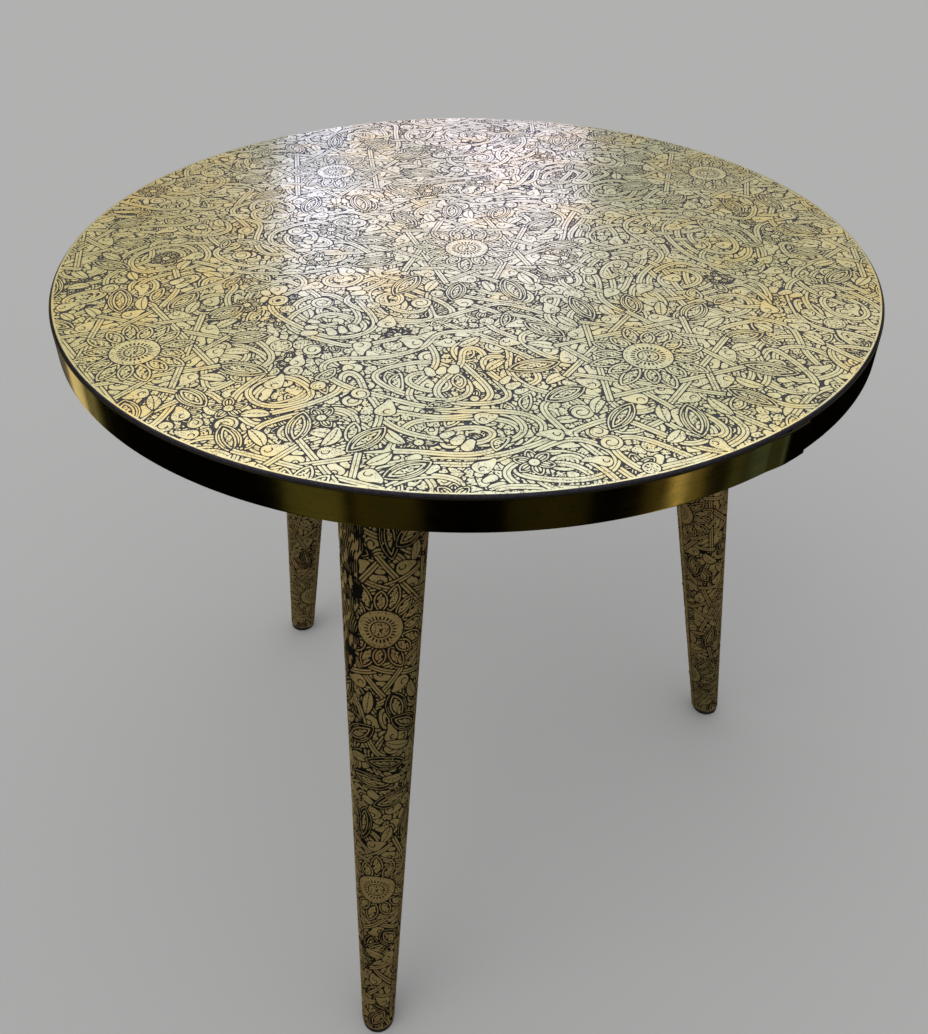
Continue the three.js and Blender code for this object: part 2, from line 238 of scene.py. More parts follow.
def hatched(x, y, turn):
    """Short wavy strokes along a direction."""
    u = x * np.cos(turn) + y * np.sin(turn)
    wave = y * np.cos(turn) - x * np.sin(turn) + 0.5 * np.sin(1.1 * u) + 0.35 * np.sin(2.3 * u + 1.0)
    strokes, row = rows(wave, spacing=1.6, width=0.7)
    return np.where(np.sin(1.9 * u + 2.4 * row) > 0.5, RAISED, strokes)


def ground(x, y, line, seed):
    """The sheet between the shapes: rounded patches, stippled, hatched, ringed or plain."""
    first = np.full(x.shape, FAR, np.float32)
    second = first.copy()
    kind = np.zeros(x.shape, np.float32)
    for i, j, distance in cell_points(x, y, GROUND_PATCH, seed):
        closer = distance < first
        second = np.where(closer, first, np.minimum(second, distance))
        kind = np.where(closer, cell_noise(i, j, seed + 5)[0], kind)
        first = np.where(closer, distance, first)
    border = (second - first) * GROUND_PATCH / 2 - 0.4 * line
    dotted = lowest(border, stipple(x, y, spacing=1.7, size=0.45, seed=seed))
    stroked = lowest(border, hatched(x, y, 14 * kind))
    ringed = lowest(border, groove(first * GROUND_PATCH - 1.6, line))
    return np.select((kind < 0.54, kind < 0.74, kind < 0.78), (dotted, stroked, ringed), border)


# ---- motifs ----

def leaf(sheet, base, turn, length, width, bend=0.0, filled=True):
    """A pointed leaf: a line inside its outline, and a stippled or veined middle."""
    part, u, v, edge = sheet.blade(base, turn, length, width, bend)
    inset = min(1.7, width * 0.22)
    if filled:
        middle = np.where(edge < -inset - 0.5, stipple(u, v, spacing=1.65, size=0.53, seed=7), FAR)
    else:
        middle = np.maximum(groove(v, sheet.line), edge + inset + 0.4)
    sheet.stamp(part, edge, groove(edge + inset, sheet.line), middle)


def veined_leaf(sheet, base, turn, length, width, bend):
    """A broad leaf with a middle vein and slanting side veins."""
    part, u, v, edge = sheet.blade(base, turn, length, width, bend)
    veins, _ = rows(u - np.abs(v) * 1.3, spacing=2.6, width=0.45)
    sheet.stamp(part, edge, groove(v, 0.55), np.maximum(veins, edge + 1.0))


def loop(sheet, base, turn, length, width):
    """A strap laid in a pointed loop round a leaf."""
    band = 2.7
    part, _, _, edge = sheet.blade(base, turn, length, width)
    sheet.stamp(part, edge, groove(edge + band / 2, 0.8 * sheet.line))
    leaf(sheet, stepped(base, band, turn), turn, length - 2 * band, max(width - 2 * band, 3.0))


def lobe(sheet, base, turn, length, big, small, side):
    """A plain bright drop that curls round a small engraved eye."""
    part, u, v = sheet.window(base, length + big + 1, turn)
    bent = v - side * 0.055 * u ** 2
    eye = np.hypot(u + big * 0.05, bent + side * big * 0.25)
    curl = np.maximum(groove(eye - big * 0.38, sheet.line), -side * bent - big * 0.45 + 0.3 * u)
    sheet.stamp(part, drop(u, bent, length, big, small), curl, eye - 0.4)


def pebble(sheet, centre, turn, length, width):
    part, u, v = sheet.window(centre, length, turn)
    sheet.stamp(part, drop(u + length * 0.22, v, length * 0.45, width / 2, width * 0.36))


def medallion(sheet, centre, radius, seed):
    """A ringed disc of stippling."""
    part, u, v = sheet.window(centre, radius + 1)
    edge = np.hypot(u, v) - radius
    inside = np.where(edge < -1.7, stipple(u, v, 1.6, 0.46, seed), FAR)
    sheet.stamp(part, edge, groove(edge + 1.4, 0.45), inside)


def scroll(sheet, centre, turn, radius, side):
    """A band wound into a spiral, ending in a small ball."""
    step, ball = 2.9, 1.5
    part, u, v = sheet.window(centre, radius + 1, turn)
    r = np.hypot(u, v)
    wound = r - side * step * np.arctan2(v, u) / tau
    line, _ = rows(wound, step, sheet.line)
    line = np.where(r < ball, groove(r - ball, 0.5), line)
    sheet.stamp(part, r - radius, line)


def blossom(sheet, centre, turn, petals, radius):
    for k in range(petals):
        leaf(sheet, centre, turn + tau * k / petals, radius, radius * 0.6, filled=False)
    part, u, v = sheet.window(centre, radius * 0.3 + 1)
    sheet.stamp(part, np.hypot(u, v) - radius * 0.27, np.hypot(u, v) - 0.5)


def woven_star(sheet, centre, turn, radius, count, width):
    """Straight straps round a circle, which pass over and under each other."""
    crossings = [radius * tan(k * pi / count) for k in (1, 2, 3)]
    reach = crossings[2] + width
    first, second = (crossings[0] + crossings[1]) / 2, (crossings[1] + crossings[2]) / 2
    for overs in (False, True):
        for k in range(count):
            aimed = turn + tau * k / count
            part, u, v = sheet.window(centre, hypot(radius, reach), aimed)
            edge = np.maximum(groove(u - radius, width), np.abs(v) - reach)
            over = ((v > 0) & (v < first)) | ((v < -first) & (v > -second)) | (v > second)
            where = over & (edge < 1) if overs else edge < 1
            sheet.stamp(part, edge, groove(u - radius, 0.8 * sheet.line), where=where)


def disc(sheet, centre, turn):
    """The middle of a rosette: a stippled rim, a ring of dashes and a dotted centre."""
    part, u, v = sheet.window(centre, SUNFLOWER_DISC + 2)
    r, angle = np.hypot(u, v), np.arctan2(v, u) - turn
    dashes = np.abs(np.sin(12 * angle)) * r / 12 - 0.46
    dashes = np.maximum(dashes, np.abs(r - 8.3) - 1.4)
    seeds = np.where(r < 4.7, stipple(u, v, spacing=1.9, size=0.6, seed=11), groove(r - 5.6, 0.9))
    rim = np.where(np.abs(r - 11.7) < 1.1, stipple(u, v, spacing=1.9, size=0.5, seed=17), FAR)
    sheet.stamp(part, r - SUNFLOWER_DISC, seeds, dashes, rim)


def sunflower(sheet, centre, turn, rng):
    """Disc, two rows of petals, woven straps over curled lobes, and loops and leaves outside."""
    def around(count, radius, phase=0.0):
        for k in range(count):
            angle = turn + tau * (k + phase) / count
            yield angle, stepped(centre, radius, angle)

    for angle, place in around(11, radius=47, phase=0.5):
        loop(sheet, place, angle + rng.normal(0, 0.14), rng.uniform(24, 33), rng.uniform(12, 15))
    for angle, place in around(11, radius=46):
        aimed = angle + rng.normal(0, 0.2)
        veined_leaf(sheet, place, aimed, rng.uniform(15, 21), 7.5, rng.uniform(-0.3, 0.3))
    for k, (angle, place) in enumerate(around(20, radius=43)):
        side = 1 if k % 2 else -1
        aimed = angle + 0.9 * side + rng.normal(0, 0.15)
        lobe(sheet, place, aimed, length=6.0, big=5.2, small=2.4, side=side)
    part, u, v = sheet.window(centre, SUNFLOWER_FIELD + 1)
    sheet.stamp(part, np.hypot(u, v) - SUNFLOWER_FIELD)
    for angle, place in around(10, radius=33.5, phase=0.5):
        lobe(sheet, place, angle + 1.5, length=3.6, big=4.4, small=3.4, side=-1)
    woven_star(sheet, centre, turn, radius=28.0, count=10, width=3.9)
    part, u, v = sheet.window(centre, SUNFLOWER_RAYS + 1)
    r, angle = np.hypot(u, v), np.arctan2(v, u) - turn
    rays = np.abs(np.sin(27 * angle + 0.12 * r)) * r / 27 - 0.24
    sheet.stamp(part, r - SUNFLOWER_RAYS, rays)
    for inset, phase, shortest, width in ((1, 0.5, 19, 9.5), (2, 0.0, 15, 9.0)):
        for angle, place in around(8, SUNFLOWER_DISC - inset, phase):
            leaf(sheet, place, angle + rng.normal(0, 0.07), rng.uniform(shortest, shortest + 4), width)
    disc(sheet, centre, turn)


def bark(sheet, low, high):
    """A tall patch of dense wavy lines, pointed towards its foot and ragged at its sides."""
    middle = ((low[0] + high[0]) / 2, (low[1] + high[1]) / 2)
    wide, tall = (high[0] - low[0]) / 2, (high[1] - low[1]) / 2
    part, u, v = sheet.window(middle, hypot(wide, tall))
    ragged = 1.4 * np.sin(v / 5.3) + 0.8 * np.sin(v / 2.1 + 1.0)
    sides = np.maximum(-u - wide, u - wide + 0.06 * (tall - v)) + ragged
    edge = np.maximum.reduce((sides, v - tall, 1.6 * np.abs(u) - v - tall))
    wave = u + 1.5 * np.sin(v / 8 + u / 12) + 0.35 * np.sin(v / 2.7 + u / 4)
    lines, row = rows(wave, spacing=1.5, width=1.0)
    breaks = np.sin(v / 3.3 + 2.4 * row) * np.sin(v / 7.1 + 1.7 * row * row) > 0.6
    sheet.stamp(part, edge, np.where(breaks, RAISED, lines), where=edge < 0.5)


def flowing_straps(sheet, rng):
    """Two families of long curving straps that cross over and under each other."""
    x, y = np.meshgrid(sheet.x, sheet.y)

    def waves(count=12):
        field = np.zeros(x.shape, np.float32)
        for _ in range(count):
            angle, phase = rng.uniform(0, tau, 2)
            k = tau / (STRAP_WAVE * rng.uniform(0.75, 1.6))
            field += np.sin(k * (x * cos(angle) + y * sin(angle)) + phase).astype(np.float32)
        return field / sqrt(count / 2)

    def level_distance(field):
        down, across = np.gradient(field, PITCH)
        slope = np.maximum(np.hypot(across, down), 0.018)
        level = np.round(field / STRAP_LEVELS)
        return (field - level * STRAP_LEVELS) / slope, level

    def strap(distance, where=None):
        whole = (slice(None), slice(None))
        sheet.stamp(whole, groove(distance, STRAP), groove(distance, 0.8 * sheet.line), where=where)

    one, one_level = level_distance(waves())
    two, two_level = level_distance(waves())
    strap(one)
    strap(two)
    strap(one, (one_level + two_level) % 2 > 0.5)


def scattered(rng, low, high, spacing):
    """Points on a jittered grid of triangles, in a random order."""
    places = []
    for row, y in enumerate(np.arange(low[1], high[1], spacing * 0.87)):
        for x in np.arange(low[0] + (row % 2) * spacing / 2, high[0], spacing):
            places.append((x, y) + rng.uniform(-0.22, 0.22, 2) * spacing)
    return rng.permutation(places)


def ornament(sheet, rng, place):
    turn = rng.uniform(0, tau)
    kind = rng.choice(list(ORNAMENTS), p=list(ORNAMENTS.values()))
    any_of = rng.uniform
    if kind == "leaf":
        leaf(sheet, place, turn, any_of(13, 20), any_of(6.5, 9), any_of(-0.4, 0.4))
    elif kind == "veined leaf":
        veined_leaf(sheet, place, turn, any_of(13, 18), any_of(6.5, 8.5), any_of(-0.3, 0.3))
    elif kind == "lobe":
        lobe(sheet, place, turn, any_of(5, 8), any_of(4.0, 5.6), small=2.2, side=rng.choice((-1, 1)))
    elif kind == "medallion":
        medallion(sheet, place, any_of(4, 6.5), rng.integers(99))
    elif kind == "scroll":
        scroll(sheet, place, turn, any_of(4.5, 6.8), rng.choice((-1, 1)))
    elif kind == "pebbles":
        for step in (-1, 0, 1):
            near = stepped(place, 6.5 * step, turn)
            pebble(sheet, near, turn + any_of(1, 2), any_of(8, 11), any_of(5, 7))
    else:
        blossom(sheet, place, turn, petals=rng.choice((5, 6, 8)), radius=any_of(9, 11))


def softened(field):
    """Rounds the corners of the pattern."""
    for axis in (0, 1):
        field = 0.25 * np.roll(field, 1, axis) + 0.5 * field + 0.25 * np.roll(field, -1, axis)
    return field


def engraved(low, high, line, flowers, seed, barked=None):
    """The pattern of a sheet, with sunflowers at the given places and a patch of bark."""
    rng = np.random.default_rng(seed)
    sheet = Sheet(low, high, line)
    x, y = np.meshgrid(sheet.x, sheet.y)
    sheet.field[:] = ground(x, y, line, seed)
    for place in scattered(rng, low, high, UNDER_SPACING):
        ornament(sheet, rng, place)
    flowing_straps(sheet, rng)
    for place in scattered(rng, low, high, OVER_SPACING):
        ornament(sheet, rng, place)
    for k, place in enumerate(flowers):
        sunflower(sheet, place, 0.35 * k, rng)
    if barked:
        bark(sheet, *barked)
        disc(sheet, flowers[0], 0)
    sheet.field = softened(sheet.field)
    return sheet


# ---- outlines ----

# For each way a cell's corners can be raised, the sides where a line of metal enters and leaves it
MOVES = {
    1: "BL", 2: "RB", 3: "RL", 4: "TR", 5: "BLTR", 6: "TB", 7: "TL",
    8: "LT", 9: "BT", 10: "RBLT", 11: "RT", 12: "LR", 13: "BR", 14: "LB",
}


def outlines(sheet):
    """Marching squares: every point where the field crosses zero, and the point that follows each one.
    Raised metal lies on the left of each step."""
    field = sheet.field
    raised = field > 0
    points, numbers = np.empty((0, 2)), []
    for right, up in ((1, 0), (0, 1)):
        crossed = raised[:len(raised) - up, :len(raised[0]) - right] != raised[up:, right:]
        numbers.append(len(points) + np.cumsum(crossed).reshape(crossed.shape) - 1)
        j, i = np.nonzero(crossed)
        reach = field[j, i] / (field[j, i] - field[j + up, i + right]) * PITCH
        points = np.r_[points, np.c_[sheet.x[i] + right * reach, sheet.y[j] + up * reach]]
    level, upright = numbers
    side = {"B": level[:-1], "T": level[1:], "L": upright[:, :-1], "R": upright[:, 1:]}
    corners = raised[:-1, :-1] + 2 * raised[:-1, 1:] + 4 * raised[1:, 1:] + 8 * raised[1:, :-1]
    follower = np.arange(len(points))
    for code, path in MOVES.items():
        cells = np.nonzero(corners == code)
        for start, end in zip(path[::2], path[1::2]):
            follower[side[start][cells]] = side[end][cells]
    return points, follower


def keep_points(points, follower, keep):
    """Drops the points not kept, which are whole outlines or don't follow one another, and links the rest."""
    number = np.cumsum(keep) - 1
    onward = np.where(keep[follower], follower, follower[follower])
    return points[keep], number[onward[keep]]


def chords(points, follower):
    """The point before each, and the line from there to the one after, with its length."""
    before = np.empty_like(follower)
    before[follower] = np.arange(len(follower))
    chord = points[follower] - points[before]
    return before, chord, np.maximum(np.hypot(*chord.T), 1e-9)


def thinned(points, follower, tolerance, longest, rounds=8):
    """Takes out points that lie nearly on the line between their neighbours."""
    for _ in range(rounds):
        before, chord, length = chords(points, follower)
        step = points - points[before]
        off = np.abs(step[:, 0] * chord[:, 1] - step[:, 1] * chord[:, 0]) / length
        in_turn = 1e-9 * (np.arange(len(off)) % 997)
        off = np.where((off > tolerance) | (length > longest), np.inf, off + in_turn)
        drop = (off < off[before]) & (off < off[follower])
        points, follower = keep_points(points, follower, ~drop)
    return points, follower


def without_specks(points, follower):
    """Takes out the closed outlines that hold less than a speck's area."""
    label = np.arange(len(follower))
    leap = follower.copy()
    for _ in range(22):  # each round doubles the leap: enough for any outline
        label = np.minimum(label, label[leap])
        leap = leap[leap]
    ahead = points[follower]
    cross = points[:, 0] * ahead[:, 1] - points[:, 1] * ahead[:, 0]
    area = np.bincount(label, weights=cross, minlength=len(label)) / 2
    return keep_points(points, follower, np.abs(area[label]) > SPECK)


def sampled(sheet, points):
    """The field at any point, read between its samples."""
    across = np.clip((points[:, 0] - sheet.x[0]) / PITCH, 0, len(sheet.x) - 1.001)
    up = np.clip((points[:, 1] - sheet.y[0]) / PITCH, 0, len(sheet.y) - 1.001)
    i, j = across.astype(int), up.astype(int)
    u, v = across - i, up - j
    low = sheet.field[j, i] * (1 - u) + sheet.field[j, i + 1] * u
    high = sheet.field[j + 1, i] * (1 - u) + sheet.field[j + 1, i + 1] * u
    return low * (1 - v) + high * v


def triangulated(points, follower, every):
    """A mesh held to the outlines: its points, its triangles, and which given point each one is."""
    steps = list(enumerate(follower.tolist()))
    made, _, faces, origins, _, _ = geometry.delaunay_2d_cdt(
        [Vector(point) for point in every.tolist()], steps, [], 0, 1e-6)
    known = np.array([origin[0] if origin else -1 for origin in origins])
    known[known >= len(points)] = -1
    return np.array([tuple(point) for point in made]), np.array(faces), known


def embossed(sheet, border, inside, tolerance, longest, spacing=0.0):
    """The relief of a flat sheet as one surface: raised metal, sunk grooves, and leaning walls between.
    border is the outline, anticlockwise, and inside(points, margin) tells which points it holds. With a
    spacing, extra points go in so that the sheet can be bent.
    Returns flat points, how sunk each one is, triangles, wall quads, and the border's points."""
    points, follower = without_specks(*outlines(sheet))
    points, follower = thinned(points, follower, tolerance, longest)
    drawn = len(points)
    points = np.r_[points, border]
    follower = np.r_[follower, drawn + (np.arange(len(border)) + 1) % len(border)]
    every = points
    if spacing:
        x, y = np.meshgrid(*(np.arange(axis[0], axis[-1], spacing) for axis in (sheet.x, sheet.y)))
        extra = np.c_[x.ravel(), y.ravel()]
        clear = np.abs(sampled(sheet, extra)) > 0.3 * spacing
        every = np.r_[points, extra[clear & inside(extra, 0.8)]]
    made, triangles, known = triangulated(points, follower, every)

    own = known[triangles]
    onward = np.append(follower, -2)
    raised = np.zeros(len(triangles), bool)
    lowered = raised.copy()
    middles = made[triangles].mean(axis=1)
    outside = ~inside(middles, -0.05)
    for k in range(3):
        here, there = own[:, k], own[:, (k + 1) % 3]
        raised |= (here >= 0) & (onward[here] == there)
        backward = (here >= 0) & (there >= 0) & (onward[there] == here)
        lowered |= backward
        outside |= backward & (there >= drawn)
    raised |= ~lowered & (sampled(sheet, middles) > 0)
    triangles, raised = triangles[~outside], raised[~outside]

    _, chord, length = chords(points, follower)
    outward = np.c_[chord[:, 1], -chord[:, 0]] / length[:, None]
    outward[drawn:] = 0
    bottom = made.copy()
    bottom[known >= 0] += WALL_RUN * outward[known[known >= 0]]

    row = np.full(len(points), -1)
    row[known[known >= 0]] = np.nonzero(known >= 0)[0]
    start, end = row[:drawn], row[follower[:drawn]]
    whole = (start >= 0) & (end >= 0) & (start != end)
    start, end = start[whole], end[whole]
    walls = joined(start + len(made), end + len(made), end, start)
    triangles = np.where(raised[:, None], triangles, triangles + len(made))
    return np.r_[made, bottom], np.repeat((0.0, 1.0), len(made)), triangles, walls, row[drawn:]


# ---- meshes ----

def joined(*corners):
    """Faces, from the numbers of all the first corners, all the second and so on."""
    return np.stack(corners, axis=-1).reshape(-1, len(corners))


def round_axis(radius, angle, height):
    """Points at a radius and an angle round +Z, and at a height."""
    spread = np.broadcast_arrays(radius * np.cos(angle), radius * np.sin(angle), height)
    return np.stack(spread, axis=-1).reshape(-1, 3)


def eased(share):
    """A share held between 0 and 1, with a soft start and a soft end."""
    share = np.clip(share, 0, 1)
    return share * share * (3 - 2 * share)


def mesh_object(name, vertices, blocks, sunk=None, flat=None, smooth_angle=30):
    """A mesh object, in metres, from points in millimetres and blocks of faces that have one size each.
    sunk says how deep in a groove each point lies, and on the top's rolled edge it carries a painted shade;
    flat lays the points out for a texture."""
    used, corners = np.unique(np.concatenate([block.ravel() for block in blocks]), return_inverse=True)
    sizes = np.concatenate([np.full(len(block), block.shape[1]) for block in blocks])
    mesh = bpy.data.meshes.new(name)
    mesh.vertices.add(len(used))
    mesh.vertices.foreach_set("co", (vertices[used] * MM).astype(np.float32).ravel())
    mesh.loops.add(len(corners))
    mesh.loops.foreach_set("vertex_index", corners.astype(np.int32))
    mesh.polygons.add(len(sizes))
    mesh.polygons.foreach_set("loop_start", (np.cumsum(sizes) - sizes).astype(np.int32))
    if sunk is not None:
        layer = mesh.attributes.new("sunk", "FLOAT", "POINT")
        layer.data.foreach_set("value", sunk[used].astype(np.float32))
    if flat is not None:
        low, high = flat[used].min(axis=0), flat[used].max(axis=0)
        chart = 0.01 + 0.98 * (flat[used] - low) / (high - low).max()
        layer = mesh.uv_layers.new(name="OFBake")
        layer.uv.foreach_set("vector", chart[corners].astype(np.float32).ravel())
    mesh.update(calc_edges=True)
    mesh.polygons.foreach_set("use_smooth", np.ones(len(sizes), bool))
    mesh.set_sharp_from_angle(angle=radians(smooth_angle))
    return linked(name, mesh)


def linked(name, data):
    thing = bpy.data.objects.new(name, data)
    bpy.context.collection.objects.link(thing)
    return thing


def fitted(piece, slot, material, *nodes):
    """Puts a finished piece on the table, in place of CAD nodes."""
    piece.data.materials.append(material)
    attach(piece, "root")
    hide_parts(*nodes)


def moved(vertices, matrix):
    matrix = np.array(matrix)
    return vertices @ matrix[:3, :3].T + matrix[:3, 3]


def turned_piece(name, profile, steps, matrix, slot, material, node):
    """A profile of (radius, height) points turned about +Z, and moved into place."""
    radius, height = np.array(profile).T
    angles = np.arange(steps) * tau / steps
    vertices = moved(round_axis(radius, angles[:, None], height), matrix)
    number = np.arange(len(vertices)).reshape(steps, len(profile))
    onward = np.roll(number, -1, axis=0)
    quads = joined(number[:, :-1], onward[:, :-1], onward[:, 1:], number[:, 1:])
    fitted(mesh_object(name, vertices, [quads], smooth_angle=40), slot, material, node)


def rounded(corners, radius, steps):
    """A profile of (radius, height) points with each inner corner rounded off."""
    corners = [np.array(corner, float) for corner in corners]
    profile = [corners[0]]
    for before, corner, after in zip(corners, corners[1:], corners[2:]):
        back, on = before - corner, after - corner
        reach = min(radius, np.hypot(*back) / 2.2, np.hypot(*on) / 2.2)
        start = corner + back / np.hypot(*back) * reach
        end = corner + on / np.hypot(*on) * reach
        for share in np.linspace(0, 1, steps):
            profile.append((1 - share) ** 2 * start + 2 * share * (1 - share) * corner + share ** 2 * end)
    return profile + [corners[-1]]


# ---- the top ----

def top_sheet(material):
    """The embossed disc with its rolled edge and skirt, in sectors."""
    sheet = engraved(*TOP_SHEET_SPAN, TOP_LINE, TOP_FLOWERS, seed=4)
    x, y = np.meshgrid(sheet.x, sheet.y)
    sheet.field = np.maximum(sheet.field, np.hypot(x, y) - FLAT_RADIUS + PLAIN_RIM)
    angles = np.arange(RIM_STEPS) * tau / RIM_STEPS
    border = FLAT_RADIUS * np.c_[np.cos(angles), np.sin(angles)]

    def inside(points, margin):
        return np.hypot(*points.T) < FLAT_RADIUS - margin

    flat, sunk, triangles, walls, rim = embossed(sheet, border, inside, tolerance=0.05, longest=9.0)
    vertices = np.c_[flat, TOP_Z - RELIEF * sunk]

    # The roll's outer side, the skirt, and the underside: coloured dark like the grooves, which on the roll
    # is a painted shade along the top's edge
    outer = FLAT_RADIUS + ROLL
    bend = np.linspace(0, pi / 2, 7)[1:]
    profile = [(FLAT_RADIUS + ROLL * sin(a), TOP_Z - ROLL + ROLL * cos(a)) for a in bend]
    profile += [(outer, SKIRT_END), (outer - SHEET, SKIRT_END), (outer - SHEET, TOP_Z - SHEET)]
    rings = [rim, *(len(vertices) + np.arange(RIM_STEPS) + k * RIM_STEPS for k in range(len(profile)))]
    turns = [round_axis(radius, angles, height) for radius, height in profile]
    vertices = np.concatenate((vertices, *turns, [(0, 0, TOP_Z - SHEET)]))
    # A sunk value of one on these rings paints them dark: painted shade on the rolled edge
    sunk = np.r_[sunk, np.ones(len(vertices) - len(sunk))]
    bands = [joined(low, np.roll(low, -1), np.roll(high, -1), high) for high, low in zip(rings, rings[1:])]
    middle = np.full(RIM_STEPS, len(vertices) - 1)
    triangles = np.r_[triangles, joined(np.roll(rings[-1], -1), rings[-1], middle)]
    quads = np.concatenate([walls, *bands])

    def sector(faces):
        x, y = vertices[faces].mean(axis=1)[:, :2].T
        return ((np.arctan2(y, x) / tau % 1) * TOP_SECTORS).astype(int)

    triangle_sector, quad_sector = sector(triangles), sector(quads)
    for k in range(TOP_SECTORS):
        blocks = [triangles[triangle_sector == k], quads[quad_sector == k]]
        piece = mesh_object(f"top_sheet_{k + 1}", vertices, blocks, sunk, vertices[:, :2])
        fitted(piece, "embossed_brass", material, "top_sheet")


def edge_band(material):
    """The polished strip: lapped over its own start, with its lower edge folded in."""
    start = BAND_SEAM - tau - BAND_LAP / 2
    end = BAND_SEAM + BAND_LAP / 2
    ramp_from = end - BAND_LAP - BAND_RAMP
    even = np.linspace(start, ramp_from, RIM_STEPS, endpoint=False)
    angles = np.r_[even, np.linspace(ramp_from, end, 16)][:, None]
    lift = (BAND_THICKNESS + GAP) * eased((angles - ramp_from) / BAND_RAMP)
    from_ends = np.minimum(angles - start, end - angles)
    flange_share = eased((from_ends - FLANGE_CLEAR) / radians(1.5) + 0.5)
    fold = FOLD_END + (FLANGE - BAND_THICKNESS - FOLD_END) * flange_share

    inner, rounding, flat_from = -BAND_THICKNESS, 0.35, 1.2
    face = [(-2 * rounding, UNDERSIDE), (0, UNDERSIDE), (0, UNDERSIDE + flat_from), (0, BAND_TOP - flat_from),
            (0, BAND_TOP), (inner, BAND_TOP), (inner, UNDERSIDE + BAND_THICKNESS + 0.5)]
    folded = [(inner, UNDERSIDE + height) for height in (BAND_THICKNESS, BAND_THICKNESS, 0.6, 0)]
    offset, height = np.array([*rounded(face, rounding, steps=4), *folded]).T
    reach = np.arange(len(offset)) >= len(offset) - 3
    vertices = round_axis(BAND_RADIUS + (offset - fold * reach + lift), angles, height)
    number = np.arange(len(vertices)).reshape(len(angles), -1)
    low, high = number[:-1], number[1:]
    quads = joined(low, high, np.roll(high, -1, axis=1), np.roll(low, -1, axis=1))
    caps = np.stack((number[0], number[-1][::-1]))
    fitted(mesh_object("edge_band_strip", vertices, [quads, caps]), "edge_brass", material, "edge_band")


# ---- the legs ----

CONE = atan(TAPER)
APEX = LEG_RADIUS_AT_FLOOR / sin(CONE)  # slant length from the cone's point to the floor end
SLEEVE_START = -pi - SLEEVE_LAP / 2
SLEEVE_END = pi + SLEEVE_LAP / 2


def leg_radius(along):
    return LEG_RADIUS_AT_FLOOR + TAPER * along


def leg_matrix(azimuth):
    """From a leg's own frame, with +Z up its axis from the floor, to the table's."""
    return (Matrix.Rotation(azimuth, 4, "Z") @ Matrix.Translation((LEG_AT_FLOOR, 0, 0))
            @ Matrix.Rotation(-SPLAY, 4, "Y"))


def unrolled(angle, along):
    slant = APEX + along / cos(CONE)
    turn = angle * sin(CONE)
    return np.c_[slant * np.sin(turn), slant * np.cos(turn) - APEX]


def rolled(points):
    """The angle round the leg and the place along it of points on the flat sleeve."""
    slant = np.hypot(points[:, 0], points[:, 1] + APEX)
    turn = np.arctan2(points[:, 0], points[:, 1] + APEX)
    return turn / sin(CONE), (slant - APEX) * cos(CONE)


def lower_end(angle):
    """Where the level cut above the floor meets the sleeve."""
    rise = np.cos(angle) * sin(SPLAY)
    return (LEG_CUT - LEG_RADIUS_AT_FLOOR * rise) / (cos(SPLAY) + TAPER * rise)


def within_sleeve(points):
    """How far points lie inside the flat sleeve's nearest edge."""
    angle, along = rolled(points)
    side = leg_radius(along) * (SLEEVE_END - np.abs(angle))
    return lowest(side, along - lower_end(angle), LEG_LENGTH - along)


def on_leg(angle, along, depth):
    """Points of the sleeve in the leg's frame. Its lapped end stands off the layer below."""
    lift = SLEEVE_LIFT * eased((angle - SLEEVE_END + SLEEVE_LAP + SLEEVE_RAMP) / SLEEVE_RAMP)
    return round_axis(leg_radius(along) + lift - depth, angle, along)


def leg_sleeve():
    """One sleeve in the leg's frame: vertices, how sunk they are, flat places and faces."""
    sheet = engraved(*SLEEVE_SPAN, LEG_LINE, LEG_FLOWERS, seed=9, barked=LEG_BARK)
    x, y = np.meshgrid(sheet.x, sheet.y)
    clear = within_sleeve(np.c_[x.ravel(), y.ravel()].astype(float))
    sheet.field = np.maximum(sheet.field, PLAIN_RIM - clear.reshape(x.shape))

    columns, rows_up = 120, 60
    around = np.linspace(SLEEVE_START, SLEEVE_END, columns + 1)
    angles, share = np.meshgrid(around, np.linspace(0, 1, rows_up + 1))
    number = np.arange(angles.size).reshape(angles.shape)
    alongs = (lower_end(angles) * (1 - share) + LEG_LENGTH * share).ravel()
    angles = angles.ravel()
    edge = np.r_[number[0, :-1], number[:-1, -1], number[-1, :0:-1], number[:0:-1, 0]]
    grid = unrolled(angles, alongs)
    flat, sunk, triangles, walls, rim = embossed(
        sheet, grid[edge], lambda points, margin: within_sleeve(points) > margin,
        tolerance=0.055, longest=3.0, spacing=2.4)
    vertices = on_leg(*rolled(flat), RELIEF * sunk)
    lining = on_leg(angles, alongs, SHEET)
    number += len(vertices)
    edge += len(vertices)
    low, high = number[:-1], number[1:]
    back = joined(low[:, :-1], high[:, :-1], high[:, 1:], low[:, 1:])
    rims = joined(edge, np.roll(edge, -1), np.roll(rim, -1), rim)
    sunk = np.r_[sunk, np.full(len(lining), 0.4)]
    vertices = np.r_[vertices, lining]
    return vertices, sunk, np.r_[flat, grid], triangles, np.r_[walls, back, rims]


def legs(material):
    vertices, sunk, flat, *faces = leg_sleeve()
    for side, azimuth in LEGS.items():
        placed = moved(vertices, leg_matrix(azimuth))
        for half in ("lower", "upper"):
            blocks = []
            for block in faces:
                above = vertices[block][:, :, 2].mean(axis=1) >= LEG_SPLIT
                blocks.append(block[above == (half == "upper")])
            piece = mesh_object(f"leg_sleeve_{side}_{half}", placed, blocks, sunk, flat)
            fitted(piece, "leg_brass", material, f"leg_sleeve_{side}")


# ---- feet and fasteners ----

